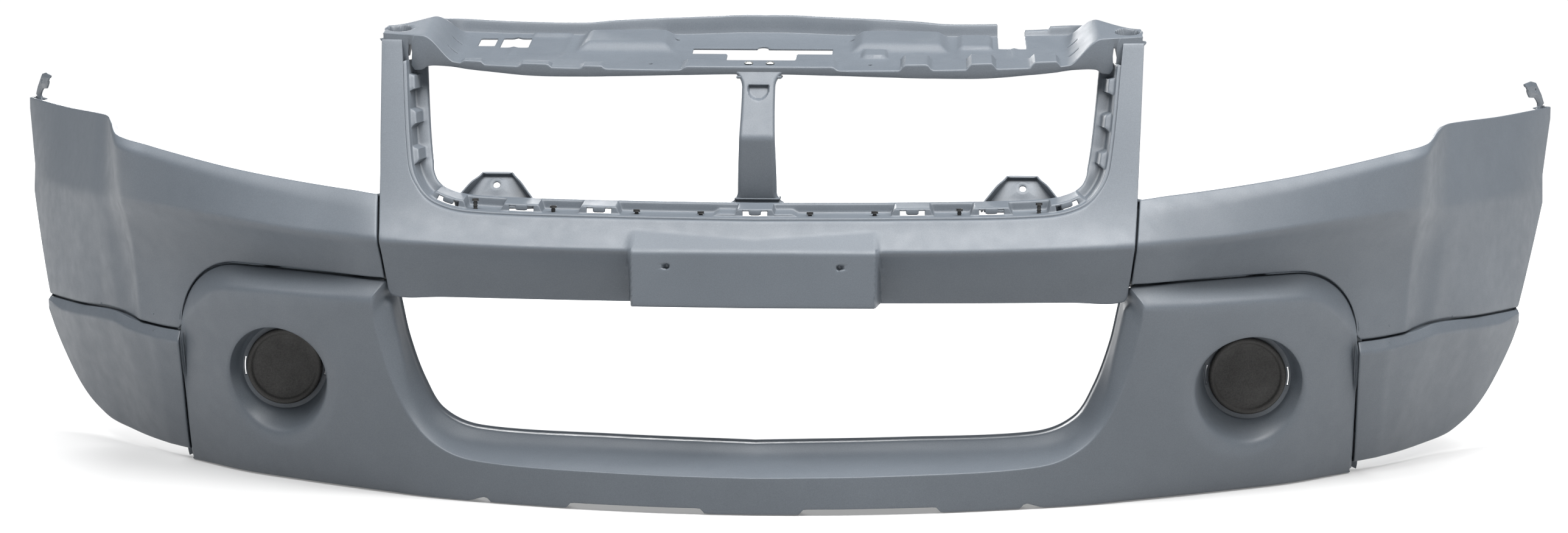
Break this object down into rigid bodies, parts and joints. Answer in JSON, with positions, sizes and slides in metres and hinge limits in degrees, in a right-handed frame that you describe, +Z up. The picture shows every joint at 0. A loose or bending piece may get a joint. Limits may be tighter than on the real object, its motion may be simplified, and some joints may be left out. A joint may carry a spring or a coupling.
{
  "type": "bumper cover",
  "caption": "Front bumper cover with grille surround, top shelf, wings, corner skirts, lower fascia with round fog-lamp pockets and pull-off blanks, joined by screws and clips.",
  "frame": {"origin": "on the centre plane, under the middle of the cover's depth, at the level of the lower flange it stands on", "axes": "+X to the viewer's right when facing the nose, -Y forward out of the nose, +Z up"},
  "size_m": [1.8098, 0.6192, 0.4892],
  "materials": {
    "primer_skin": "grey primer, fine satin grain",
    "blank_plastic": "unpainted black plastic, matte grain",
    "zinc_steel": "zinc-plated screws",
    "clip_plastic": "black nylon push clips"
  },
  "bodies": {
    "cover": {"centre_fascia": "primer_skin", "grille_carrier": "primer_skin", "upper_shelf": "primer_skin", "centre_post": "primer_skin", "lower_fascia": "primer_skin", "left_wing": "primer_skin", "right_wing": "primer_skin", "left_corner_skirt": "primer_skin", "right_corner_skirt": "primer_skin", "left_fog_pocket": "primer_skin", "right_fog_pocket": "primer_skin", "left_fender_bracket": "primer_skin", "right_fender_bracket": "primer_skin", "left_seam_screws": "zinc_steel", "right_seam_screws": "zinc_steel", "left_pod_clips": "clip_plastic", "right_pod_clips": "clip_plastic", "left_skirt_screws": "zinc_steel", "right_skirt_screws": "zinc_steel", "left_skirt_clips": "clip_plastic", "right_skirt_clips": "clip_plastic", "left_bracket_rivets": "zinc_steel", "right_bracket_rivets": "zinc_steel", "shelf_screws": "zinc_steel", "post_screws": "zinc_steel", "carrier_rivets": "clip_plastic"},
    "left_blank": {"left_fog_blank": "blank_plastic"},
    "right_blank": {"right_fog_blank": "blank_plastic"}
  },
  "joints": [
    {"name": "left_fog_blank_pull", "type": "slide", "parent": "cover", "child": "left_blank", "axis": [0, -1, 0], "range_m": [0, 0.04]},
    {"name": "right_fog_blank_pull", "type": "slide", "parent": "cover", "child": "right_blank", "axis": [0, -1, 0], "range_m": [0, 0.04]}
  ]
}
